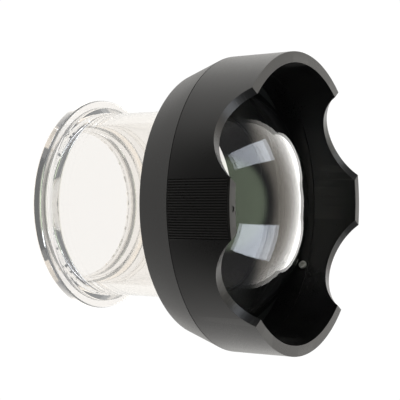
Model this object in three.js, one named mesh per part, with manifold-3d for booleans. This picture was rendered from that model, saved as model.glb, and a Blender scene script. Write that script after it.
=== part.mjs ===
// Dome port for an underwater camera housing: a clear acrylic tube with a mounting flange
// at the rear, and a clear dome inside a black shell with a petal-shaped shade at the front.
// Millimetres. The optical axis is +Z, and the origin is the centre of the rear spigot's
// end face, on which the port stands.
import * as THREE from 'three';
import { mergeVertices } from 'three/addons/utils/BufferGeometryUtils.js';
import Module from 'manifold-3d';

const wasm = await Module();
wasm.setup();

// ---- driving dimensions ----
const gap = 0.3;                  // assembly gap between pieces that touch
const fine = 48;                  // segments round the large visible pieces
const coarse = 36;                // segments round the inner pieces

const tubeOuterR = 54;
const tubeInnerR = 48;
const tubeFrontZ = 96;

const spigotOuterR = 49;
const spigotInnerR = 44.5;
const flangeR = 62.4;
const flangeBackZ = 10;
const flangeFrontZ = 16;
const hubR = 58;
const hubTopZ = 22.5;
const tubeSeatZ = 12;             // shoulder in the flange that the tube stands on
const mountRingSection = 1.4;     // radius of the mount O-ring's section
const mountGrooveZ = 4.2;         // height of the mount O-ring's centre

const domeCentreZ = 53;
const domeOuterR = 87;
const domeWall = 5;
const domeFootZ = 99.3;
const domeFootH = 3;
const domeFootR = 74.6;

const linerBackZ = 76.2;          // rear end of the anti-reflection liner
const linerWall = 1.5;

const carrierFrontZ = domeFootZ - gap;
const carrierR = 72.2;
const carrierHubR = 62.1;
const domeSealR = 69.6;
const domeSealSection = 1.05;
const domeSealZ = 98.1;

const shellBackZ = 89.1;
const shellBackR = 73.8;
const shellEdgeZ = 110.2;         // where the cone meets the shade
const shellEdgeR = 81.3;
const shellBoreR = 75.5;
const webThickness = 3;
const lipTopZ = 117.7;
const lipOuterR = 78.3;
const floorZ = 105;               // front face of the clamp ring
const spannerNotchAngles = [0, 180];

const shadeRimZ = 145;
// Two scallops on each side; `turn` is in degrees to either side of the Y axis.
const scallops = [
  { side: 90, turn: 30.9, r: 34.1, centreZ: 164.5 },
  { side: -90, turn: 28.1, r: 30.8, centreZ: 163.4 },
];
const cutterReach = 14;           // how far a cutter runs past the shade's wall

const padHalfAngle = 10.1;        // degrees
const padSlack = 0.25;            // degrees of side clearance in the pocket
const padZ = [110.9, 143.6];
const padRibs = 22;
const padFloorR = 80.3;
const padRootR = 80.95;
const padTopR = 81.5;

const screwAngles = [58.5, 178.5, 298.5];   // degrees from +X, counter-clockwise
const screwZ = 115;
const screwHeadR = 2.4;
const screwHeadH = 1.4;
const screwSocketR = 1.15;
const socketDepth = 0.9;
const screwShankR = 1.5;
const screwTipR = 79.6;           // distance of the screw's tip from the axis
const screwSlotR = 79.9;          // floor of the blind slot that the tip bears on

const coverScrewCount = 6;
const coverScrewCircleR = 65.8;
const coverScrewHeadR = 2.8;
const coverScrewHeadH = 1.4;
const coverScrewShankR = 1.5;
const coverScrewSocketR = 1.3;
const coverScrewLength = 8.4;

// ---- finishes ----
const clear = () => new THREE.MeshStandardMaterial({
  color: 0xeef1ef, roughness: 0.05, metalness: 0, transparent: true, opacity: 0.35,
});
const blackShell = () => new THREE.MeshStandardMaterial({ color: 0x1f1e1d, roughness: 0.55, metalness: 0 });
const blackInner = () => new THREE.MeshStandardMaterial({ color: 0x0e0e0e, roughness: 0.7, metalness: 0 });
const steel = () => new THREE.MeshStandardMaterial({ color: 0xb9bab8, roughness: 0.3, metalness: 1 });
const greySeal = () => new THREE.MeshStandardMaterial({ color: 0x3c3f40, roughness: 0.5, metalness: 0 });
const blackSeal = () => new THREE.MeshStandardMaterial({ color: 0x141414, roughness: 0.6, metalness: 0 });

// ---- solids ----
function toSolid(geometry) {
  geometry.deleteAttribute('normal');
  geometry.deleteAttribute('uv');
  const merged = mergeVertices(geometry, 1e-4);
  const index = merged.index.array;
  const triangles = [];
  for (let i = 0; i < index.length; i += 3) {
    const [a, b, c] = index.slice(i, i + 3);
    if (a !== b && b !== c && c !== a) triangles.push(a, b, c);
  }
  return new wasm.Manifold(new wasm.Mesh({
    numProp: 3,
    vertProperties: new Float32Array(merged.attributes.position.array),
    triVerts: new Uint32Array(triangles),
  }));
}

function toGeometry(solid) {
  const mesh = solid.getMesh();
  const geometry = new THREE.BufferGeometry();
  geometry.setAttribute('position', new THREE.BufferAttribute(new Float32Array(mesh.vertProperties), 3));
  geometry.setIndex(new THREE.BufferAttribute(new Uint32Array(mesh.triVerts), 1));
  geometry.computeVertexNormals();
  return geometry;
}

// A ring or cap from a profile of [radius, height] pairs, counter-clockwise as seen with
// the axis on the left.
function turned(profile, segments = fine) {
  const onAxis = profile[0][0] === 0;
  const closed = onAxis ? profile : [...profile, profile[0]];
  const points = closed.map(([r, z]) => new THREE.Vector2(r, z));
  const geometry = new THREE.LatheGeometry(points, segments);
  geometry.rotateX(Math.PI / 2);
  return toSolid(geometry);
}

function roundRing(ringR, z, sectionR, segments = coarse, sides = 6) {
  const profile = [];
  for (let i = 0; i < sides; i += 1) {
    const angle = (2 * Math.PI * (i + 0.5)) / sides;
    profile.push([ringR + sectionR * Math.cos(angle), z + sectionR * Math.sin(angle)]);
  }
  return turned(profile, segments);
}

// A cylinder that points straight out from the axis, from one distance to another.
function radialPin(angleDegrees, z, pinR, fromR, toR, sides = 10) {
  const geometry = new THREE.CylinderGeometry(pinR, pinR, toR - fromR, sides);
  geometry.rotateZ(-Math.PI / 2);
  geometry.translate((fromR + toR) / 2, 0, z);
  geometry.rotateZ(THREE.MathUtils.degToRad(angleDegrees));
  return toSolid(geometry);
}

// A cylinder along Z at a place on a circle round the axis.
function axialPin(angleDegrees, circleR, pinR, fromZ, toZ, sides = 10) {
  const geometry = new THREE.CylinderGeometry(pinR, pinR, toZ - fromZ, sides);
  geometry.rotateX(Math.PI / 2);
  geometry.translate(circleR, 0, (fromZ + toZ) / 2);
  geometry.rotateZ(THREE.MathUtils.degToRad(angleDegrees));
  return toSolid(geometry);
}

// A block that points straight out from the axis, square to it.
function radialBlock(angleDegrees, width, fromR, toR, fromZ, toZ) {
  const geometry = new THREE.BoxGeometry(toR - fromR, width, toZ - fromZ);
  geometry.translate((fromR + toR) / 2, 0, (fromZ + toZ) / 2);
  geometry.rotateZ(THREE.MathUtils.degToRad(angleDegrees));
  return toSolid(geometry);
}

const sphereRadius = (z, sphereR) => Math.sqrt(sphereR ** 2 - (z - domeCentreZ) ** 2);

// Points of a sphere's profile from the radius `edge` to the axis.
function sphereArc(sphereR, edge, steps) {
  const start = Math.asin(edge / sphereR);
  const points = [];
  for (let i = 0; i <= steps; i += 1) {
    const angle = start * (1 - i / steps);
    const r = i === steps ? 0 : sphereR * Math.sin(angle);
    points.push([r, domeCentreZ + sphereR * Math.cos(angle)]);
  }
  return points;
}

const coneSlope = (shellEdgeR - shellBackR) / (shellEdgeZ - shellBackZ);
const shellConeR = (z) => shellBackR + coneSlope * (z - shellBackZ);

// ---- pieces ----
function mountFlange() {
  const edge = 1.4;
  const grooveHalf = mountRingSection + gap;
  const grooveFloor = spigotOuterR - 2;
  return turned([
    [spigotInnerR, 0],
    [spigotOuterR, 0],
    [spigotOuterR, mountGrooveZ - grooveHalf],
    [grooveFloor, mountGrooveZ - grooveHalf],
    [grooveFloor, mountGrooveZ + grooveHalf],
    [spigotOuterR, mountGrooveZ + grooveHalf],
    [spigotOuterR, flangeBackZ],
    [flangeR - edge, flangeBackZ],
    [flangeR, flangeBackZ + edge],
    [flangeR, flangeFrontZ - edge],
    [flangeR - edge, flangeFrontZ],
    [hubR, flangeFrontZ],
    [hubR, flangeFrontZ + 2],
    [tubeOuterR + 2, hubTopZ],
    [tubeOuterR + gap, hubTopZ],
    [tubeOuterR + gap, tubeSeatZ],
    [spigotInnerR, tubeSeatZ],
  ]);
}

function mountOring() {
  return roundRing(spigotOuterR - 2 + gap + mountRingSection, mountGrooveZ, mountRingSection);
}

function portTube() {
  return turned([
    [tubeInnerR, tubeSeatZ + gap],
    [tubeOuterR, tubeSeatZ + gap],
    [tubeOuterR, tubeFrontZ],
    [tubeInnerR, tubeFrontZ],
  ]);
}

function antiReflectionLiner() {
  const outer = tubeInnerR - gap;
  return turned([
    [outer - linerWall, linerBackZ],
    [outer, linerBackZ],
    [outer, carrierFrontZ],
    [outer - linerWall, carrierFrontZ],
  ], coarse);
}

function domeCarrier() {
  const grooveDepth = 2.2;
  const grooveHalf = domeSealSection + gap;
  const backZ = shellBackZ + webThickness + gap;
  const holeEndZ = shellBackZ + coverScrewLength + 2 * gap;
  const ring = turned([
    [tubeOuterR + gap, shellBackZ],
    [carrierHubR, shellBackZ],
    [carrierHubR, backZ],
    [carrierR, backZ],
    [carrierR, carrierFrontZ],
    [domeSealR + grooveHalf, carrierFrontZ],
    [domeSealR + grooveHalf, carrierFrontZ - grooveDepth],
    [domeSealR - grooveHalf, carrierFrontZ - grooveDepth],
    [domeSealR - grooveHalf, carrierFrontZ],
    [tubeInnerR + gap, carrierFrontZ],
    [tubeInnerR + gap, tubeFrontZ + gap],
    [tubeOuterR + gap, tubeFrontZ + gap],
  ], coarse);
  return coverScrewAngles().reduce((solid, angle) => solid.subtract(
    axialPin(angle, coverScrewCircleR, coverScrewShankR + gap, backZ - 1, holeEndZ),
  ), ring);
}

function domeOring() {
  return roundRing(domeSealR, domeSealZ, domeSealSection);
}

function acrylicDome() {
  const innerR = domeOuterR - domeWall;
  const footTop = domeFootZ + domeFootH;
  const inner = sphereArc(innerR, sphereRadius(domeFootZ, innerR), 7).reverse();
  const outer = sphereArc(domeOuterR, sphereRadius(footTop, domeOuterR), 7);
  return turned([...inner, [domeFootR, domeFootZ], [domeFootR, footTop], ...outer]);
}

function domeClampRing() {
  const backZ = domeFootZ + domeFootH + gap;
  const clearance = 0.5;
  const ring = turned([
    [sphereRadius(backZ, domeOuterR) + clearance, backZ],
    [shellBoreR - gap, backZ],
    [shellBoreR - gap, floorZ],
    [sphereRadius(floorZ, domeOuterR) + clearance, floorZ],
  ], coarse);
  const notch = { width: 3, depth: 1.2, innerR: 73 };
  return spannerNotchAngles.reduce((solid, angle) => solid.subtract(
    radialBlock(angle, notch.width, notch.innerR, shellBoreR + 1, floorZ - notch.depth, floorZ + 1),
  ), ring);
}

function coneCover() {
  const webTopZ = shellBackZ + webThickness;
  const wall = 2.4;
  const boreStartZ = 99.6;
  const ring = turned([
    [carrierHubR + gap, shellBackZ],
    [shellBackR, shellBackZ],
    [shellEdgeR, shellEdgeZ],
    [lipOuterR, shellEdgeZ],
    [lipOuterR, lipTopZ],
    [shellBoreR, lipTopZ],
    [shellBoreR, boreStartZ],
    [shellConeR(webTopZ) - wall, webTopZ],
    [carrierHubR + gap, webTopZ],
  ]);
  const holes = screwAngles.map((angle) => radialPin(
    angle, screwZ, screwShankR + gap, shellBoreR - 1, lipOuterR + 1,
  ));
  const rearHoles = coverScrewAngles().map((angle) => axialPin(
    angle, coverScrewCircleR, coverScrewShankR + gap, shellBackZ - 1, webTopZ + 1,
  ));
  const headPockets = coverScrewAngles().map((angle) => axialPin(
    angle, coverScrewCircleR, coverScrewHeadR + gap, shellBackZ - 1, shellBackZ + coverScrewHeadH + 2 * gap,
  ));
  return [...holes, ...rearHoles, ...headPockets].reduce((solid, cut) => solid.subtract(cut), ring);
}

function petalShade() {
  const backZ = shellEdgeZ + gap;
  const rebateR = lipOuterR + gap;
  const rebateTopZ = lipTopZ + gap;
  const edge = 0.6;
  let shade = turned([
    [rebateR, backZ],
    [shellEdgeR, backZ],
    [shellEdgeR, shadeRimZ - edge],
    [shellEdgeR - edge, shadeRimZ],
    [shellBoreR + edge, shadeRimZ],
    [shellBoreR, shadeRimZ - edge],
    [shellBoreR, rebateTopZ],
    [rebateR, rebateTopZ],
  ]);
  for (const { side, turn, r, centreZ } of scallops) {
    for (const angle of [side + turn, side - turn]) {
      shade = shade.subtract(radialPin(
        angle, centreZ, r, shellBoreR - cutterReach, shellEdgeR + cutterReach, 64,
      ));
    }
    shade = shade.subtract(padSector(
      side, padFloorR, shellEdgeR + cutterReach, padZ[0] - gap, padZ[1] + gap, padHalfAngle + padSlack,
    ));
  }
  for (const angle of screwAngles) {
    shade = shade.subtract(radialBlock(
      angle, 2 * (screwShankR + gap), lipOuterR - 1, screwSlotR, backZ - 1, screwZ + screwShankR + 2 * gap,
    ));
  }
  return shade;
}

// A sector of a ring, flat along Z.
function padSector(angleDegrees, innerR, outerR, fromZ, toZ, halfAngle) {
  const half = THREE.MathUtils.degToRad(halfAngle);
  const shape = new THREE.Shape();
  shape.absarc(0, 0, outerR, -half, half, false);
  shape.absarc(0, 0, innerR, half, -half, true);
  shape.closePath();
  const geometry = new THREE.ExtrudeGeometry(shape, {
    depth: toZ - fromZ, bevelEnabled: false, curveSegments: 6,
  });
  geometry.translate(0, 0, fromZ);
  geometry.rotateZ(THREE.MathUtils.degToRad(angleDegrees));
  return toSolid(geometry);
}

// A grip pad with ribs along the axis, in a shallow pocket of the shade.
function gripPad(angleDegrees) {
  const half = THREE.MathUtils.degToRad(padHalfAngle);
  const floorR = padFloorR + gap;
  const at = (r, angle) => new THREE.Vector2(r * Math.cos(angle), r * Math.sin(angle));
  const outline = [];
  const pitch = (2 * half) / padRibs;
  for (let i = 0; i < padRibs; i += 1) {
    const start = -half + i * pitch;
    outline.push(at(padRootR, start), at(padTopR, start + pitch * 0.25), at(padTopR, start + pitch * 0.75));
  }
  outline.push(at(padRootR, half));
  for (let i = 0; i <= 4; i += 1) outline.push(at(floorR, half - (2 * half * i) / 4));
  const geometry = new THREE.ExtrudeGeometry(new THREE.Shape(outline), {
    depth: padZ[1] - padZ[0], bevelEnabled: false,
  });
  geometry.translate(0, 0, padZ[0]);
  geometry.rotateZ(THREE.MathUtils.degToRad(angleDegrees));
  return toSolid(geometry);
}

// A button-head screw driven outwards from inside the shell, with a hexagon socket.
function shadeScrew(angleDegrees) {
  const headBackR = shellBoreR - gap;
  const headFrontR = headBackR - screwHeadH;
  const head = radialPin(angleDegrees, screwZ, screwHeadR, headFrontR, headBackR, 12);
  const shank = radialPin(angleDegrees, screwZ, screwShankR, headBackR - 0.2, screwTipR);
  const socket = radialPin(
    angleDegrees, screwZ, screwSocketR, headFrontR - 1, headFrontR + socketDepth, 6,
  );
  return head.add(shank).subtract(socket);
}

function coverScrewAngles() {
  return Array.from({ length: coverScrewCount }, (_, i) => 30 + (i * 360) / coverScrewCount);
}

// A cap screw driven forwards from the rear face, through the cover into the carrier.
function coverScrew(angleDegrees) {
  const headBackZ = shellBackZ + 0.1;
  const headFrontZ = headBackZ + coverScrewHeadH;
  const head = axialPin(angleDegrees, coverScrewCircleR, coverScrewHeadR, headBackZ, headFrontZ, 12);
  const shank = axialPin(
    angleDegrees, coverScrewCircleR, coverScrewShankR, headFrontZ - 0.2, headBackZ + coverScrewLength,
  );
  const socket = axialPin(
    angleDegrees, coverScrewCircleR, coverScrewSocketR, headBackZ - 1, headBackZ + socketDepth, 6,
  );
  return head.add(shank).subtract(socket);
}

// ---- assembly ----
const port = new THREE.Group();

function place(name, solid, material) {
  const mesh = new THREE.Mesh(toGeometry(solid), material);
  mesh.name = name;
  port.add(mesh);
}

place('mount_flange', mountFlange(), clear());
place('mount_oring', mountOring(), greySeal());
place('port_tube', portTube(), clear());
place('anti_reflection_liner', antiReflectionLiner(), blackInner());
place('dome_carrier', domeCarrier(), blackInner());
place('dome_oring', domeOring(), blackSeal());
place('acrylic_dome', acrylicDome(), clear());
place('dome_clamp_ring', domeClampRing(), blackInner());
place('cone_cover', coneCover(), blackShell());
place('petal_shade', petalShade(), blackShell());
[90, -90].forEach((angle, i) => place(`grip_pad_${i + 1}`, gripPad(angle), blackShell()));
screwAngles.forEach((angle, i) => place(`shade_screw_${i + 1}`, shadeScrew(angle), steel()));
coverScrewAngles().forEach((angle, i) => place(`cover_screw_${i + 1}`, coverScrew(angle), steel()));

export default port;
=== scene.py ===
import math

import bpy
from mathutils import Matrix, Vector


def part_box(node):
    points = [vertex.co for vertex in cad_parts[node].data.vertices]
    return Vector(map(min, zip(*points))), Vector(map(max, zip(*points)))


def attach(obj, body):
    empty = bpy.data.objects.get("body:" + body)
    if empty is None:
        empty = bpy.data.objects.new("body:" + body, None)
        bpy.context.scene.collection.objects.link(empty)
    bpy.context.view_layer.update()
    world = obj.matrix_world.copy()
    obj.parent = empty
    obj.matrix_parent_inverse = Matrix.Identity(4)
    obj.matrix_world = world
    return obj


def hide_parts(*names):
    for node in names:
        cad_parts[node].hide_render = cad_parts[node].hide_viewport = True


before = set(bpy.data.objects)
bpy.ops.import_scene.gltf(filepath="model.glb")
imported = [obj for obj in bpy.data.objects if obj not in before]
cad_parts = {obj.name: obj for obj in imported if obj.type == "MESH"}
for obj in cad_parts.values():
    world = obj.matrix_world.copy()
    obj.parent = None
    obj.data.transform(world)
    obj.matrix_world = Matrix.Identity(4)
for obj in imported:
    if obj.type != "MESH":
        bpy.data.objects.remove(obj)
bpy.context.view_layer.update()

bpy.ops.object.select_all(action="DESELECT")
mm = 0.001               # every dictionary below is in millimetres and degrees

# camera and light

camera = {
    "lens": 86.7, "sensor": 36, "aim": (-1.6, 29.0, 63.4), "distance": 583.5,
    "down": 30.8, "turn": -1.4, "roll": 0.2,
}
# each soft light is two panels side by side; a panel runs from and to these parts of its length
strips = {
    "stripLeft": {
        "at": (-485, 405, 911), "along": (0.07, 0.89, -0.45), "size": (735, 205),
        "panels": [(-0.50, 0.16, 9.0), (0.17, 0.50, 10.5)],
    },
    "stripRight": {
        "at": (389, 396, 968), "along": (-0.05, 0.90, -0.44), "size": (720, 345),
        "panels": [(-0.50, 0.16, 15.0), (0.17, 0.50, 8.5)],
    },
}
stripColour = (0.88, 0.95, 1.06)
floorSize = 8000
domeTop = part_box("acrylic_dome")[1].z


def makeCamera():
    turn = Matrix.Rotation(math.radians(camera["turn"]), 3, "Z")
    down = math.radians(camera["down"])
    forward = turn @ Vector((0, math.cos(down), -math.sin(down)))
    up = turn @ Vector((-1, 0, 0))
    up.rotate(Matrix.Rotation(math.radians(camera["roll"]), 3, forward))
    right = forward.cross(up).normalized()
    bpy.ops.object.camera_add(location=Vector(camera["aim"]) * mm - forward * camera["distance"] * mm)
    cam = bpy.context.object
    cam.name = "camera"
    cam.rotation_mode = "QUATERNION"
    cam.rotation_quaternion = Matrix((right, right.cross(forward), -forward)).transposed().to_quaternion()
    cam.data.lens = camera["lens"]
    cam.data.sensor_width = camera["sensor"]
    cam.data.clip_start, cam.data.clip_end = 0.01, 50
    bpy.context.scene.camera = cam


def makeStrip(name, strip):
    middle = Vector(strip["at"]) * mm
    back = (middle - Vector((0, 0, domeTop))).normalized()
    along = Vector(strip["along"])
    along = (along - back * along.dot(back)).normalized()
    length, width = (value * mm for value in strip["size"])
    for number, (start, end, watts) in enumerate(strip["panels"]):
        bpy.ops.object.light_add(type="AREA", location=middle + along * length * (start + end) / 2)
        lamp = bpy.context.object
        lamp.name = "%s%d" % (name, number + 1)
        lamp.rotation_mode = "QUATERNION"
        lamp.rotation_quaternion = Matrix((along, back.cross(along), back)).transposed().to_quaternion()
        lamp.data.shape = "RECTANGLE"
        lamp.data.size, lamp.data.size_y = length * (end - start), width
        lamp.data.energy = watts * lamp.data.size * width          # watts a square metre
        lamp.data.color = stripColour


makeCamera()
for name, strip in strips.items():
    makeStrip(name, strip)
print("camera and lights made")

# shader maths


class Wire:
    # wraps one output socket, so that shader maths reads as plain sums

    def __init__(self, tree, socket):
        self.tree, self.socket = tree, socket

    def maths(self, operation, *values):
        return self.tree.node("ShaderNodeMath", {"operation": operation}, list(values))

    def __add__(self, other):
        return self.maths("ADD", self, other)

    def __radd__(self, other):
        return self.maths("ADD", other, self)

    def __sub__(self, other):
        return self.maths("SUBTRACT", self, other)

    def __rsub__(self, other):
        return self.maths("SUBTRACT", other, self)

    def __mul__(self, other):
        return self.maths("MULTIPLY", self, other)

    def __rmul__(self, other):
        return self.maths("MULTIPLY", other, self)

    def __truediv__(self, other):
        return self.maths("DIVIDE", self, other)

    def __pow__(self, other):
        return self.maths("POWER", self, other)

    def step(self, low, high, start=0.0, end=1.0):
        # smooth change from start to end as the value goes from low to high
        return self.tree.node(
            "ShaderNodeMapRange", {"interpolation_type": "SMOOTHSTEP"},
            {"Value": self, "From Min": low, "From Max": high, "To Min": start, "To Max": end},
        )


class Tree:
    def __init__(self, owner):
        owner.use_nodes = True
        self.nodes, self.links = owner.node_tree.nodes, owner.node_tree.links
        self.nodes.clear()

    def node(self, kind, settings=None, values=(), out=0):
        made = self.nodes.new(kind)
        for key, value in (settings or {}).items():
            if key == "stops":
                self.setStops(made.color_ramp, value)
            else:
                setattr(made, key, value)
        pairs = values.items() if isinstance(values, dict) else enumerate(values)
        for key, value in pairs:
            if isinstance(value, Wire):
                self.links.new(value.socket, made.inputs[key])
            else:
                made.inputs[key].default_value = value
        return Wire(self, made.outputs[out])

    def setStops(self, ramp, stops):
        while len(ramp.elements) < len(stops):
            ramp.elements.new(0.5)
        for element, (position, colour) in zip(ramp.elements, stops):
            element.position = position
            element.color = (*colour, 1) if isinstance(colour, tuple) else (colour, colour, colour, 1)

    def mix(self, factor, first, second):
        # mixes two colours; sockets 0, 6 and 7 are the factor and the colours, and output 2 is the colour
        values = {0: factor, 6: first, 7: second}
        for key, value in values.items():
            values[key] = (*value, 1) if isinstance(value, tuple) else value
        return self.node("ShaderNodeMix", {"data_type": "RGBA"}, values, 2)

    def split(self, vector):
        parts = self.node("ShaderNodeSeparateXYZ", {}, [vector])
        return [Wire(self, output) for output in parts.socket.node.outputs]

    def place(self, stretch=(1, 1, 1)):
        spot = self.node("ShaderNodeTexCoord", out=3)
        return self.node("ShaderNodeMapping", {}, {"Vector": spot, "Scale": stretch})

    def noise(self, scale, detail=3.0, stretch=(1, 1, 1), roughness=0.5):
        return self.node(
            "ShaderNodeTexNoise", {},
            {"Vector": self.place(stretch), "Scale": scale, "Detail": detail, "Roughness": roughness},
        )

    def bump(self, height, strength, distance):
        values = {"Height": height, "Strength": strength, "Distance": distance}
        return self.node("ShaderNodeBump", {}, values)

    def finish(self, shader, kind="ShaderNodeOutputMaterial"):
        end = self.nodes.new(kind)
        self.links.new(shader.socket, end.inputs["Surface"])


def principled(tree, values):
    return tree.node("ShaderNodeBsdfPrincipled", {}, values)


# surroundings

# what mirror-like surfaces see; the lens and the clear plastic look through at an even white
backdrop = {
    "stops": [                           # brightness by the height of the direction
        (0.0, 1.0), (0.30, 0.90), (0.45, 0.68), (0.54, 0.58), (0.63, 0.52),
        (0.70, 0.46), (0.76, 0.31), (0.82, 0.2),
    ],
    "strength": 1.95,
    "low": (1.0, 0.985, 0.96), "high": (1.0, 0.93, 0.83), "warms": (0.2, 0.7),
    "width": (0.62, 0.82), "top": (0.72, 0.84),
}
room = {
    "dark": (0.11, 0.11, 0.12), "ceiling": (0.98, 1.18, 0.86), "horizon": (0.72, 0.71, 0.69),
    "ceilingFrom": (0.84, 0.90), "wallTop": (0.12, 0.25),
}
table = {
    "front": -230, "blur": 60, "beyond": 0.08,      # where it ends towards the camera
    "top": (1.0, 0.985, 0.955), "seen": 1.03,
    "left": 1.8, "right": 1.4, "sides": (100, 300),
}


def lookedThrough(tree, extra=0.0):
    # 1 where the surroundings are seen straight or through clear plastic, 0 in a reflection
    path = tree.node("ShaderNodeLightPath", out="Ray Depth")
    through = Wire(tree, path.socket.node.outputs["Transmission Depth"])
    return 1 - tree.node("ShaderNodeMath", {"operation": "MINIMUM"}, [path - through - extra, 1.0])


def makeWorld():
    world = bpy.data.worlds.new("studio")
    bpy.context.scene.world = world
    tree = Tree(world)
    x, y, z = tree.split(tree.node("ShaderNodeTexCoord", out=0))
    level = (x * x + y * y + 0.0001) ** 0.5
    behind = (y / level).step(*backdrop["width"])      # 1 towards the backdrop
    height = tree.node("ShaderNodeValToRGB", {"stops": backdrop["stops"]}, [z])
    glow = tree.mix(z.step(*backdrop["warms"]), backdrop["low"], backdrop["high"])
    paper = tree.node("ShaderNodeVectorMath", {"operation": "MULTIPLY"}, [glow, height])
    lit = tree.node(
        "ShaderNodeVectorMath", {"operation": "SCALE"}, {"Vector": paper, "Scale": backdrop["strength"]},
    )
    upper = tree.mix(z.step(*room["ceilingFrom"]), room["dark"], room["ceiling"])
    wall = tree.mix(z.step(*room["wallTop"]), room["horizon"], upper)
    mirrored = tree.mix(behind * z.step(*backdrop["top"], 1.0, 0.0), wall, lit)
    colour = tree.mix(lookedThrough(tree, 1.0), mirrored, (1, 1, 1))     # a world counts one bounce more
    tree.finish(tree.node("ShaderNodeBackground", {}, {"Color": colour}), "ShaderNodeOutputWorld")


def makeFloor():
    bpy.ops.mesh.primitive_plane_add(size=floorSize * mm, location=(0, 0, 0))
    floor = bpy.context.object
    floor.name = "floor"
    tree = Tree(bpy.data.materials.new("paleFloor"))
    x, y, _ = tree.split(tree.node("ShaderNodeTexCoord", out=3))
    near = (table["front"] - table["blur"]) * mm, (table["front"] + table["blur"]) * mm
    inner, outer = (value * mm for value in table["sides"])
    sides = x.step(-outer, -inner, table["left"], 1.0) * x.step(inner, outer, 1.0, table["right"])
    mirrored = y.step(*near, table["beyond"], 1.0) * sides
    seen = lookedThrough(tree)
    glow = seen * table["seen"] + (1 - seen) * mirrored
    colour = tree.mix(seen, table["top"], (1, 1, 1))
    light = tree.node("ShaderNodeEmission", {}, {"Color": colour, "Strength": glow})
    # from below the floor is not there
    under = tree.node("ShaderNodeNewGeometry", out="Backfacing")
    clear = tree.node("ShaderNodeBsdfTransparent")
    tree.finish(tree.node("ShaderNodeMixShader", {}, [under, light, clear]))
    floor.data.materials.append(bpy.data.materials["paleFloor"])


makeWorld()
makeFloor()
bpy.context.scene.view_settings.view_transform = "Standard"
print("surroundings made")

# finishes


def clearAcrylic():
    tree = Tree(bpy.data.materials.new("clearAcrylic"))
    haze = tree.noise(60, 4)
    tree.finish(principled(tree, {
        "Base Color": (0.825, 0.80, 0.77, 1),
        "Roughness": haze.step(0.45, 0.75, 0.0, 0.03),
        "IOR": 1.49,
        "Transmission Weight": 1.0,
        "Emission Color": (0.95, 0.98, 1.0, 1),      # painted glow: a faint emission standing in for light caught inside the thick plastic
        "Emission Strength": 0.04,
        "Normal": tree.bump(tree.noise(900, 2), 0.02, 0.0001),
    }))
    return bpy.data.materials["clearAcrylic"]


def clearDome():
    tree = Tree(bpy.data.materials.new("clearDome"))
    haze = tree.noise(45, 4)
    tree.finish(principled(tree, {
        "Base Color": (0.985, 0.985, 0.98, 1),
        "Roughness": haze.step(0.55, 0.8, 0.0, 0.012),
        "IOR": 1.49,
        "Transmission Weight": 1.0,
    }))
    return bpy.data.materials["clearDome"]


def turnedBlack():
    # black acetal, turned: fine rings round the axis, a satin face, and sharp edges made paler as a painted
    # highlight
    tree = Tree(bpy.data.materials.new("turnedBlack"))
    rings = tree.noise(40, 2, (1, 1, 60))
    grain = tree.noise(1400, 3)
    patches = tree.noise(22, 4)
    # painted highlight: sharp edges, found by pointiness, are made paler
    paintedEdgeHighlight = tree.node("ShaderNodeNewGeometry", out=7).step(0.53, 0.60)
    base = tree.mix(patches.step(0.35, 0.7), (0.0018, 0.0017, 0.0017), (0.0028, 0.0027, 0.0026))
    colour = tree.mix(paintedEdgeHighlight * 0.6, base, (0.03, 0.029, 0.028))
    tree.finish(principled(tree, {
        "Base Color": colour,
        "Roughness": patches.step(0.3, 0.7, 0.29, 0.36) + grain.step(0.3, 0.7, -0.03, 0.03),
        "Specular IOR Level": 0.34,
        "Normal": tree.bump(rings * 0.6 + grain * 0.4, 0.12, 0.0002),
    }))
    return bpy.data.materials["turnedBlack"]


def innerBlack():
    tree = Tree(bpy.data.materials.new("innerBlack"))
    grain = tree.noise(900, 3)
    patches = tree.noise(30, 3).step(0.3, 0.7)
    tree.finish(principled(tree, {
        "Base Color": tree.mix(patches, (0.0008, 0.0008, 0.0009), (0.0016, 0.0016, 0.0017)),
        "Roughness": grain.step(0.3, 0.7, 0.55, 0.68),
        "Specular IOR Level": 0.22,
        "Normal": tree.bump(grain, 0.1, 0.0002),
    }))
    return bpy.data.materials["innerBlack"]


def stainless():
    tree = Tree(bpy.data.materials.new("stainless"))
    brushed = tree.noise(900, 3, (1, 1, 12))
    tree.finish(principled(tree, {
        "Base Color": tree.mix(brushed, (0.74, 0.73, 0.70), (0.88, 0.87, 0.84)),
        "Roughness": brushed.step(0.3, 0.7, 0.34, 0.48),
        "Metallic": 1.0,
        "Normal": tree.bump(brushed, 0.08, 0.0001),
    }))
    return bpy.data.materials["stainless"]


def seal(name, low, high, rough):
    tree = Tree(bpy.data.materials.new(name))
    dust = tree.noise(260, 4)
    tree.finish(principled(tree, {
        "Base Color": tree.mix(dust.step(0.4, 0.8), low, high),
        "Roughness": dust.step(0.3, 0.7, rough - 0.08, rough + 0.08),
        "Normal": tree.bump(dust, 0.1, 0.0002),
    }))
    return bpy.data.materials[name]


finishes = {
    "clear_acrylic": clearAcrylic(),
    "clear_dome": clearDome(),
    "black_shell": turnedBlack(),
    "black_inner": innerBlack(),
    "stainless": stainless(),
    "grey_seal": seal("greySeal", (0.52, 0.52, 0.51), (0.60, 0.60, 0.59), 0.4),
    "black_seal": seal("blackSeal", (0.012, 0.012, 0.012), (0.03, 0.03, 0.03), 0.5),
}
print("finishes made")

# modelling helpers


def editing(piece):
    bpy.ops.object.select_all(action="DESELECT")
    piece.select_set(True)
    bpy.context.view_layer.objects.active = piece
    bpy.ops.object.mode_set(mode="EDIT")


def leave():
    bpy.ops.object.mode_set(mode="OBJECT")


def choose(piece, test):
    # selects the vertices that pass the test, and the edges and faces between them
    leave()
    mesh = piece.data
    for group in (mesh.vertices, mesh.edges, mesh.polygons):
        group.foreach_set("select", [False] * len(group))
    for vertex in mesh.vertices:
        vertex.select = test(vertex.co / mm)
    bpy.context.tool_settings.mesh_select_mode = (True, False, False)
    bpy.ops.object.mode_set(mode="EDIT")
    bpy.ops.mesh.select_mode(type="VERT")


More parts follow.
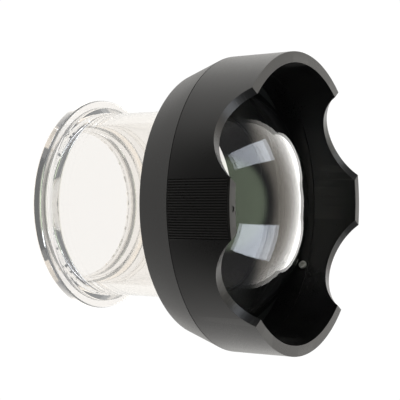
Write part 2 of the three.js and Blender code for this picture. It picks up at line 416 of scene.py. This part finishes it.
def pickLoop(piece, r, z, slack=0.004):
    # selects one turned edge
    choose(piece, lambda spot: abs(spot.z - z) < slack and abs(math.hypot(spot.x, spot.y) - r) < slack)
    bpy.ops.mesh.select_mode(type="EDGE")


def sweep(outline, r, z):
    # extrudes the selected ring through the outline's points; returns where it ends
    for nextR, nextZ in outline:
        bpy.ops.mesh.extrude_edges_move()
        scale = nextR / r
        bpy.ops.transform.resize(value=(scale, scale, 1), center_override=(0, 0, 0))
        bpy.ops.transform.translate(value=(0, 0, (nextZ - z) * mm))
        r, z = nextR, nextZ
    return r, z


def turned(name, outline, bevels=(), steps=240):
    # a ring turned round Z, through a closed outline of (radius, height)
    r, z = outline[0]
    bpy.ops.object.select_all(action="DESELECT")
    bpy.ops.mesh.primitive_circle_add(vertices=steps, radius=r * mm, location=(0, 0, z * mm))
    piece = bpy.context.object
    piece.name = name
    bpy.ops.object.transform_apply(location=True, rotation=True, scale=True)
    editing(piece)
    bpy.ops.mesh.select_mode(type="EDGE")
    bpy.ops.mesh.select_all(action="SELECT")
    sweep([*outline[1:], outline[0]], r, z)
    closeUp()
    for (edgeR, edgeZ), width, cuts in bevels:
        pickLoop(piece, edgeR, edgeZ)
        bpy.ops.mesh.bevel(offset=width * mm, segments=cuts, affect="EDGES", clamp_overlap=True)
    leave()
    return piece


def closeUp():
    bpy.ops.mesh.select_all(action="SELECT")
    bpy.ops.mesh.remove_doubles(threshold=0.000002)
    bpy.ops.mesh.normals_make_consistent(inside=False)


def cut(piece, cutters):
    for cutter in cutters:
        modifier = piece.modifiers.new("cut", "BOOLEAN")
        modifier.operation, modifier.solver, modifier.object = "DIFFERENCE", "EXACT", cutter
        bpy.context.view_layer.objects.active = piece
        bpy.ops.object.modifier_apply(modifier=modifier.name)
    for cutter in cutters:
        bpy.data.objects.remove(cutter)


def soften(piece, width, cuts=3, angle=35):
    modifier = piece.modifiers.new("edge", "BEVEL")
    modifier.width, modifier.segments = width * mm, cuts
    modifier.limit_method, modifier.angle_limit = "ANGLE", math.radians(angle)
    modifier.use_clamp_overlap = True
    bpy.context.view_layer.objects.active = piece
    bpy.ops.object.modifier_apply(modifier=modifier.name)


# what counts as a wall: its height, how upright it is and how squarely it faces out or in
wallTest = {"height": 3, "upright": 0.5, "facing": 0.97}


def trueWalls(piece):
    # gives the long walls turned round Z the exact normals of the surface they stand for
    mesh = piece.data
    normals = [corner.vector.copy() for corner in mesh.corner_normals]
    for face in mesh.polygons:
        spots = [mesh.vertices[i].co for i in face.vertices]
        outward = face.center.to_2d().normalized()
        lean = face.normal.to_2d()
        height = max(spot.z for spot in spots) - min(spot.z for spot in spots)
        if height < wallTest["height"] * mm or lean.length < wallTest["upright"]:
            continue
        if abs(lean.normalized().dot(outward)) < wallTest["facing"]:
            continue
        side = math.copysign(lean.length, lean.dot(outward))
        for loop, spot in zip(face.loop_indices, spots):
            away = spot.to_2d().normalized()
            normals[loop] = Vector((away.x * side, away.y * side, face.normal.z))
    mesh.normals_split_custom_set(normals)


def hand(piece, body, slot, nodes, angle=30, walls=False):
    # last steps for every piece: shading, finish, the body it rides on and the nodes it replaces
    bpy.ops.object.select_all(action="DESELECT")
    piece.select_set(True)
    bpy.context.view_layer.objects.active = piece
    bpy.ops.object.transform_apply(location=True, rotation=True, scale=True)
    bpy.ops.object.shade_smooth_by_angle(angle=math.radians(angle))
    modifier = piece.modifiers.new("shading", "WEIGHTED_NORMAL")
    modifier.keep_sharp = True
    bpy.ops.object.modifier_apply(modifier=modifier.name)
    if walls:
        trueWalls(piece)
    piece.data.materials.clear()
    piece.data.materials.append(finishes[slot])
    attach(piece, body)
    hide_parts(*nodes)


def radialCylinder(name, angle, z, r, inner, outer, vertices):
    turn = math.radians(angle)
    middle = (inner + outer) / 2
    bpy.ops.object.select_all(action="DESELECT")
    bpy.ops.mesh.primitive_cylinder_add(
        vertices=vertices, radius=r * mm, depth=(outer - inner) * mm,
        location=(middle * math.cos(turn) * mm, middle * math.sin(turn) * mm, z * mm),
        rotation=(0, math.pi / 2, turn),
    )
    piece = bpy.context.object
    piece.name = name
    return piece


def axialCylinder(name, angle, circle, r, low, high, vertices):
    turn = math.radians(angle)
    bpy.ops.object.select_all(action="DESELECT")
    bpy.ops.mesh.primitive_cylinder_add(
        vertices=vertices, radius=r * mm, depth=(high - low) * mm,
        location=(circle * math.cos(turn) * mm, circle * math.sin(turn) * mm, (low + high) / 2 * mm),
    )
    piece = bpy.context.object
    piece.name = name
    return piece


def block(name, angle, width, inner, outer, low, high):
    turn = math.radians(angle)
    middle = (inner + outer) / 2
    bpy.ops.object.select_all(action="DESELECT")
    bpy.ops.mesh.primitive_cube_add(
        size=1, location=(middle * math.cos(turn) * mm, middle * math.sin(turn) * mm, (low + high) / 2 * mm),
        rotation=(0, 0, turn), scale=((outer - inner) * mm, width * mm, (high - low) * mm),
    )
    piece = bpy.context.object
    piece.name = name
    return piece


# clear tube with its mounting flange

tube = {"outer": 54, "inner": 48, "top": 96}
spigot = {"outer": 49, "inner": 44.5, "shoulder": 12, "groove": (2.5, 5.9), "grooveDepth": 2}
flange = {"r": 62.4, "back": 10, "front": 16, "edge": 1.4, "hubR": 58, "hubFoot": 18, "hubTop": 22.5}


def makeClearBody():
    low, high = spigot["groove"]
    floorR = spigot["outer"] - spigot["grooveDepth"]
    outline = [
        (spigot["inner"], 0), (spigot["outer"], 0),
        (spigot["outer"], low), (floorR, low), (floorR, high), (spigot["outer"], high),
        (spigot["outer"], flange["back"]), (flange["r"], flange["back"]), (flange["r"], flange["front"]),
        (flange["hubR"], flange["front"]), (flange["hubR"], flange["hubFoot"]),
        (tube["outer"], flange["hubTop"]), (tube["outer"], tube["top"]), (tube["inner"], tube["top"]),
        (tube["inner"], spigot["shoulder"]), (spigot["inner"], spigot["shoulder"]),
    ]
    bevels = [
        ((flange["r"], flange["back"]), flange["edge"], 6),
        ((flange["r"], flange["front"]), flange["edge"], 6),
        ((flange["hubR"], flange["front"]), 0.6, 3),
        ((flange["hubR"], flange["hubFoot"]), 0.8, 4),
        ((tube["outer"], flange["hubTop"]), 0.8, 4),
        ((spigot["inner"], 0), 0.5, 3),
        ((spigot["outer"], 0), 0.6, 3),
        ((spigot["inner"], spigot["shoulder"]), 0.4, 3),
        ((spigot["outer"], flange["back"]), 0.3, 2),
    ]
    body = turned("clearBody", outline, bevels, 256)
    hand(body, "port_body", "clear_acrylic", ("mount_flange", "port_tube"))


mountSeal = {"r": 48.7, "z": 4.2, "section": 1.4}


def makeRing(name, size, slot, node):
    bpy.ops.object.select_all(action="DESELECT")
    bpy.ops.mesh.primitive_torus_add(
        major_radius=size["r"] * mm, minor_radius=size["section"] * mm,
        major_segments=192, minor_segments=20, location=(0, 0, size["z"] * mm),
    )
    ring = bpy.context.object
    ring.name = name
    hand(ring, "port_body", slot, (node,), 60)


makeClearBody()
makeRing("mountSeal", mountSeal, "grey_seal", "mount_oring")
print("clear body made")

# dome and the pieces that hold it

gap = 0.3                # clearance between neighbouring pieces
dome = {
    "centre": 53, "outer": 87, "wall": 5, "foot": 99.3, "footTop": 102.3, "footR": 74.6,
    "footEdge": 0.4, "steps": 36,
}
domeSeal = {"r": 69.6, "z": 98.1, "section": 1.05}
carrier = {
    "hubR": 62.1, "r": 72.2, "back": 89.1, "step": 92.4, "front": 99.0, "bore": 48.3,
    "groove": 1.35, "grooveDepth": 2.2,             # half the width of the seal's groove, and its depth
}
clamp = {"back": 102.6, "front": 105, "outer": 75.2, "clearance": 0.5}
liner = {"outer": 47.7, "inner": 46.2, "back": 76.2, "front": 99.0}


def domeR(z, sphere):
    return math.sqrt(sphere ** 2 - (z - dome["centre"]) ** 2)


def domeArc(z, sphere):
    # from the given height up to the axis
    start = math.asin(domeR(z, sphere) / sphere)
    arc = []
    for i in range(1, dome["steps"] + 1):
        angle = start * (1 - i / dome["steps"])
        arc.append((max(sphere * math.sin(angle), 0.0001), dome["centre"] + sphere * math.cos(angle)))
    return arc


def makeDome():
    inner = dome["outer"] - dome["wall"]
    startR = domeR(dome["foot"], inner)
    bpy.ops.object.select_all(action="DESELECT")
    bpy.ops.mesh.primitive_circle_add(vertices=256, radius=startR * mm, location=(0, 0, dome["foot"] * mm))
    piece = bpy.context.object
    piece.name = "dome"
    bpy.ops.object.transform_apply(location=True, rotation=True, scale=True)
    editing(piece)
    bpy.ops.mesh.select_mode(type="EDGE")
    bpy.ops.mesh.select_all(action="SELECT")
    foot = [(dome["footR"], dome["foot"]), (dome["footR"], dome["footTop"])]
    edgeR = domeR(dome["footTop"], dome["outer"])
    sweep([*foot, (edgeR, dome["footTop"]), *domeArc(dome["footTop"], dome["outer"])], startR, dome["foot"])
    pickLoop(piece, startR, dome["foot"])
    sweep(domeArc(dome["foot"], inner), startR, dome["foot"])
    closeUp()
    for edge in foot:
        pickLoop(piece, *edge)
        bpy.ops.mesh.bevel(offset=dome["footEdge"] * mm, segments=3, affect="EDGES")
    leave()
    hand(piece, "port_body", "clear_dome", ("acrylic_dome",))


def makeDomeSeat():
    low, high = domeSeal["r"] - carrier["groove"], domeSeal["r"] + carrier["groove"]
    floorZ = carrier["front"] - carrier["grooveDepth"]
    tubeR = tube["outer"] + gap
    ring = turned("domeCarrier", [
        (tubeR, carrier["back"]), (carrier["hubR"], carrier["back"]),
        (carrier["hubR"], carrier["step"]), (carrier["r"], carrier["step"]),
        (carrier["r"], carrier["front"]),
        (high, carrier["front"]), (high, floorZ), (low, floorZ), (low, carrier["front"]),
        (carrier["bore"], carrier["front"]), (carrier["bore"], tube["top"] + gap),
        (tubeR, tube["top"] + gap),
    ], [((carrier["hubR"], carrier["back"]), 0.4, 2), ((carrier["bore"], carrier["front"]), 0.3, 2)], 192)
    hand(ring, "port_body", "black_inner", ("dome_carrier",))
    sleeve = turned("liner", [
        (liner["inner"], liner["back"]), (liner["outer"], liner["back"]),
        (liner["outer"], liner["front"]), (liner["inner"], liner["front"]),
    ], [((liner["inner"], liner["back"]), 0.3, 2), ((liner["inner"], liner["front"]), 0.3, 2)], 192)
    hand(sleeve, "port_body", "black_inner", ("anti_reflection_liner",))
    holder = turned("clampRing", [
        (domeR(clamp["back"], dome["outer"]) + clamp["clearance"], clamp["back"]),
        (clamp["outer"], clamp["back"]), (clamp["outer"], clamp["front"]),
        (domeR(clamp["front"], dome["outer"]) + clamp["clearance"], clamp["front"]),
    ], [((clamp["outer"], clamp["front"]), 0.3, 2)], 240)
    hand(holder, "port_body", "black_inner", ("dome_clamp_ring",))


makeDome()
makeDomeSeat()
makeRing("domeSeal", domeSeal, "black_seal", "dome_oring")
print("dome made")

# shell and shade

shell = {
    "back": 89.1, "backR": 73.8, "edge": 110.2, "edgeR": 81.3, "bore": 75.5, "web": 92.1,
    "lipTop": 117.7, "lipR": 78.3, "boreStart": 99.6, "wall": 2.4,
}
shade = {
    "rim": 145, "corner": 0.7, "seam": 0.3, "cutter": (60, 95),
    "markAt": 78.2, "markR": 1.4, "markDepth": 0.35,        # a shallow index mark on the near petal
}
scallops = [
    {"side": 90, "spread": 30.9, "r": 34.1, "z": 164.5},
    {"side": -90, "spread": 28.1, "r": 30.8, "z": 163.4},
]
shadeScrew = {
    "angles": (58.5, 178.5, 298.5), "z": 115, "headR": 2.4, "head": (73.8, 75.2), "shankR": 1.5,
    "tip": 79.6, "socketR": 1.15, "socketDepth": 0.9, "soft": 0.25,
    "holeR": 1.8, "hole": (74, 80), "slotWidth": 3.6, "slot": (77, 79.9), "slotPast": 2.1,
}
coverScrew = {
    "angles": [30 + 60 * i for i in range(6)], "circle": 65.8, "headR": 2.8, "head": (89.2, 90.6),
    "shankR": 1.5, "tip": 97.6, "socketR": 1.3, "socketDepth": 0.9, "soft": 0.2,
    "pocketR": 3.1, "pocket": (88, 91.1), "boreR": 1.8, "bore": (90, 93),
}
pad = {
    "half": 10.1, "back": 110.9, "front": 143.6, "ribs": 22, "root": 80.85, "crest": 81.5, "thick": 1.4,
    "pocket": (79, 90), "play": 0.2, "sidePlay": 0.15,      # side play in degrees
    "perRib": 6, "crests": (2, 3, 4), "flanks": (1, 5),     # columns to a rib, and the raised ones
}


def makeCone():
    slope = (shell["edgeR"] - shell["backR"]) / (shell["edge"] - shell["back"])
    innerR = shell["backR"] + slope * (shell["web"] - shell["back"]) - shell["wall"]
    hub = carrier["hubR"] + gap
    cone = turned("coneCover", [
        (hub, shell["back"]), (shell["backR"], shell["back"]), (shell["edgeR"], shell["edge"]),
        (shell["lipR"], shell["edge"]), (shell["lipR"], shell["lipTop"]), (shell["bore"], shell["lipTop"]),
        (shell["bore"], shell["boreStart"]), (innerR, shell["web"]), (hub, shell["web"]),
    ], [
        ((shell["backR"], shell["back"]), 0.5, 4), ((shell["edgeR"], shell["edge"]), 0.12, 2),
        ((hub, shell["back"]), 0.3, 2), ((shell["bore"], shell["lipTop"]), 0.15, 2),
    ], 256)
    holes = [
        radialCylinder("hole", angle, shadeScrew["z"], shadeScrew["holeR"], *shadeScrew["hole"], 32)
        for angle in shadeScrew["angles"]
    ]
    rear = coverScrew
    for name, r, reach, steps in (
        ("pocket", rear["pocketR"], rear["pocket"], 40), ("bore", rear["boreR"], rear["bore"], 32),
    ):
        holes += [axialCylinder(name, angle, rear["circle"], r, *reach, steps) for angle in rear["angles"]]
    cut(cone, holes)
    hand(cone, "port_body", "black_shell", ("cone_cover",), walls=True)


def makeShade():
    back = shell["edge"] + shade["seam"]
    rebate = shell["lipR"] + gap
    ring = turned("petalShade", [
        (rebate, back), (shell["edgeR"], back), (shell["edgeR"], shade["rim"]),
        (shell["bore"], shade["rim"]), (shell["bore"], shell["lipTop"] + gap),
        (rebate, shell["lipTop"] + gap),
    ], [((shell["edgeR"], back), 0.12, 2)], 360)
    openings = []
    for one in scallops:
        for angle in (one["side"] + one["spread"], one["side"] - one["spread"]):
            openings.append(radialCylinder("scallop", angle, one["z"], one["r"], *shade["cutter"], 200))
    width = 2 * shell["edgeR"] * math.sin(math.radians(pad["half"] + pad["sidePlay"]))
    padBack, padFront = pad["back"] - pad["play"], pad["front"] + pad["play"]
    pockets = [block("pocket", side, width, *pad["pocket"], padBack, padFront) for side in (90, -90)]
    slotTop = shadeScrew["z"] + shadeScrew["slotPast"]
    slots = [
        block("slot", angle, shadeScrew["slotWidth"], *shadeScrew["slot"], back - 1, slotTop)
        for angle in shadeScrew["angles"]
    ]
    markFloor = shade["rim"] - shade["markDepth"]
    mark = axialCylinder("mark", -90, shade["markAt"], shade["markR"], markFloor, shade["rim"] + 1, 32)
    cut(ring, [*openings, *pockets, *slots, mark])
    soften(ring, shade["corner"], 3, 40)
    hand(ring, "shade", "black_shell", ("petal_shade",), 35, walls=True)


def makePad(name, side, node):
    # one upright edge is spun into a strip, the crests are drawn out and the strip is thickened
    turn = math.radians(side)
    half = math.radians(pad["half"])
    start = Vector((math.cos(turn - half), math.sin(turn - half), 0)) * pad["root"]
    bpy.ops.object.select_all(action="DESELECT")
    bpy.ops.mesh.primitive_plane_add(size=1)
    piece = bpy.context.object
    piece.name = name
    editing(piece)
    choose(piece, lambda spot: spot.x > 0)
    bpy.ops.mesh.delete(type="VERT")
    leave()
    for vertex in piece.data.vertices:
        start.z = pad["front"] if vertex.co.y > 0 else pad["back"]
        vertex.co = start * mm
    choose(piece, lambda spot: True)
    columns = pad["perRib"] * pad["ribs"]
    bpy.ops.mesh.spin(steps=columns, angle=-2 * half, center=(0, 0, 0), axis=(0, 0, 1))

    def column(spot):
        angle = (math.atan2(spot.y, spot.x) - turn + half + math.pi) % (2 * math.pi) - math.pi
        return round(angle / (2 * half) * columns) % pad["perRib"]

    halfway = (pad["crest"] + pad["root"]) / 2
    for raised, r in ((pad["crests"], pad["crest"]), (pad["flanks"], halfway)):
        choose(piece, lambda spot: column(spot) in raised)
        scale = r / pad["root"]
        bpy.ops.transform.resize(value=(scale, scale, 1), center_override=(0, 0, 0))
    choose(piece, lambda spot: True)
    bpy.ops.mesh.normals_make_consistent(inside=False)
    bpy.ops.mesh.extrude_region_move()
    scale = (pad["root"] - pad["thick"]) / pad["root"]
    bpy.ops.transform.resize(value=(scale, scale, 1), center_override=(0, 0, 0))
    bpy.ops.mesh.select_all(action="SELECT")
    bpy.ops.mesh.normals_make_consistent(inside=False)
    leave()
    hand(piece, "shade", "black_shell", (node,), 40)


makeCone()
makeShade()
makePad("gripPadBack", 90, "grip_pad_1")
makePad("gripPadFront", -90, "grip_pad_2")
print("shell and shade made")

# screws


def weld(piece, other):
    modifier = piece.modifiers.new("weld", "BOOLEAN")
    modifier.operation, modifier.solver, modifier.object = "UNION", "EXACT", other
    bpy.context.view_layer.objects.active = piece
    bpy.ops.object.modifier_apply(modifier=modifier.name)
    bpy.data.objects.remove(other)


def screwPiece(name, along, place, size):
    # a head, a shank and a hexagonal socket, each drawn by the given cylinder function
    low, high = size["head"]
    screw = along(name, *place, size["headR"], low, high, 64)
    weld(screw, along("shank", *place, size["shankR"], high - 0.2, size["tip"], 40))
    cut(screw, [along("socket", *place, size["socketR"], low - 1, low + size["socketDepth"], 6)])
    soften(screw, size["soft"], 3, 50)
    return screw


def makeShadeScrew(number, angle):
    screw = screwPiece("shadeScrew%d" % number, radialCylinder, (angle, shadeScrew["z"]), shadeScrew)
    hand(screw, "screw_%d" % number, "stainless", ("shade_screw_%d" % number,))


def makeCoverScrew(number, angle):
    screw = screwPiece("coverScrew%d" % number, axialCylinder, (angle, coverScrew["circle"]), coverScrew)
    hand(screw, "port_body", "stainless", ("cover_screw_%d" % number,))


for number, angle in enumerate(shadeScrew["angles"], 1):
    makeShadeScrew(number, angle)
for number, angle in enumerate(coverScrew["angles"], 1):
    makeCoverScrew(number, angle)
print("screws made")
